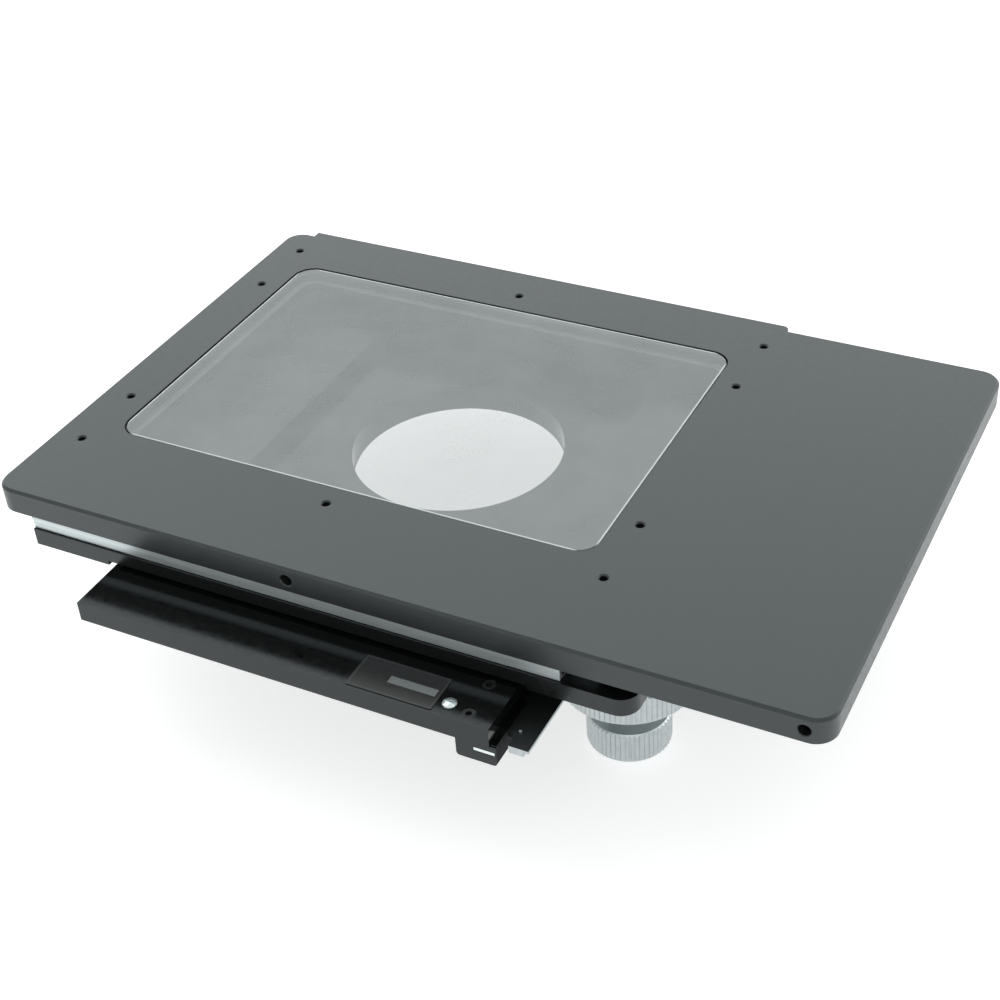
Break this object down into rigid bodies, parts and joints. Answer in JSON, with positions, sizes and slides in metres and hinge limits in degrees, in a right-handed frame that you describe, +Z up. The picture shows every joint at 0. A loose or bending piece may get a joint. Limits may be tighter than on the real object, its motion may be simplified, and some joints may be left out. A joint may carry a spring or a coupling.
{
  "type": "manual microscope stage",
  "caption": "Flat two-axis slide stage with a framed glass insert over a round light hole, moved by coaxial knurled knobs through racks and pinions.",
  "frame": {"origin": "axis of the light hole, on the flat underside that bolts to a stand", "axes": "+X to the right along the long side, +Y to the back, +Z up through the glass"},
  "size_m": [0.362, 0.3023, 0.09],
  "materials": {
    "black_plate": "fine bead-blasted, satin black anodised",
    "black_base": "satin black anodised",
    "rail_steel": "ground",
    "black_screw": "black oxide",
    "bright_alloy": "turned and straight knurled, clear",
    "bright_steel": "polished",
    "bronze": "machined",
    "glass": "fine etched, ground edges",
    "gasket": "light grey seat tape",
    "label": "blank printed foil"
  },
  "bodies": {
    "base": {"base_plate": "black_base", "rack_plate": "black_base", "rack_plate_screws": "rail_steel", "rack_plate_pin": "bright_steel", "y_rail_left_fixed": "rail_steel", "y_rail_right_fixed": "rail_steel", "y_rail_screws_fixed": "black_screw", "clamp_block": "black_base", "clamp_block_insert": "bright_steel", "clamp_block_screws": "black_screw", "drag_screw": "rail_steel", "label_plate": "label"},
    "cross": {"cross_plate": "black_plate", "x_rail_front_fixed": "rail_steel", "x_rail_rear_fixed": "rail_steel", "x_rail_screws_fixed": "black_screw", "x_stop_pins": "rail_steel", "y_rail_left_moving": "rail_steel", "y_rail_right_moving": "rail_steel", "y_rail_screws_moving": "black_screw", "y_stop_pin": "rail_steel", "bearing_block": "black_plate", "bearing_block_screws": "black_screw", "tube_bearing": "bronze", "shaft_bearing": "bronze"},
    "top": {"top_plate": "black_plate", "glass_insert": "glass", "glass_gasket": "gasket", "rear_rail_carrier": "black_plate", "carrier_screws": "black_screw", "x_rail_front_moving": "rail_steel", "x_rail_rear_moving": "rail_steel", "x_rail_screws_moving": "black_screw", "x_rail_end_screws": "black_screw", "x_rack": "rail_steel", "x_rack_screws": "black_screw", "x_stop_block": "black_screw", "x_stop_block_screws": "rail_steel"},
    "y_cages": {"y_cage_left": "bronze", "y_cage_right": "bronze", "y_balls": "bright_steel"},
    "x_cages": {"x_cage_front": "bronze", "x_cage_rear": "bronze", "x_balls": "bright_steel"},
    "y_drive": {"y_drive_tube": "rail_steel", "y_pinion": "rail_steel", "tube_collar": "rail_steel", "y_knob": "bright_alloy", "y_knob_grub_screw": "black_screw", "tube_bushes": "bronze"},
    "x_drive": {"x_drive_shaft": "rail_steel", "x_pinion": "rail_steel", "x_thrust_washer": "bronze", "x_knob": "bright_alloy", "x_knob_grub_screw": "black_screw"}
  },
  "joints": [
    {"name": "y_slide", "type": "slide", "parent": "base", "child": "cross", "axis": [0, 1, 0], "range_m": [-0.075, 0.075]},
    {"name": "x_slide", "type": "slide", "parent": "cross", "child": "top", "axis": [1, 0, 0], "range_m": [-0.063, 0.087]},
    {"name": "y_cage_slide", "type": "slide", "parent": "base", "child": "y_cages", "axis": [0, 1, 0], "range_m": [-0.038, 0.038]},
    {"name": "x_cage_slide", "type": "slide", "parent": "cross", "child": "x_cages", "axis": [1, 0, 0], "range_m": [-0.032, 0.044]},
    {"name": "y_knob_turn", "type": "hinge", "parent": "cross", "child": "y_drive", "pos_m": [0.1143, -0.0755, -0.0144], "axis": [0, 0, 1], "range_deg": [-538, 538]},
    {"name": "x_knob_turn", "type": "hinge", "parent": "cross", "child": "x_drive", "pos_m": [0.1143, -0.0755, -0.0449], "axis": [0, 0, 1], "range_deg": [-484, 666]}
  ],
  "couplings": [
    {"joint": "y_cage_slide", "follows": "y_slide", "ratio": 0.5},
    {"joint": "x_cage_slide", "follows": "x_slide", "ratio": 0.5},
    {"joint": "y_knob_turn", "follows": "y_slide", "rad_per_m": 125},
    {"joint": "x_knob_turn", "follows": "x_slide", "rad_per_m": 133.33}
  ]
}
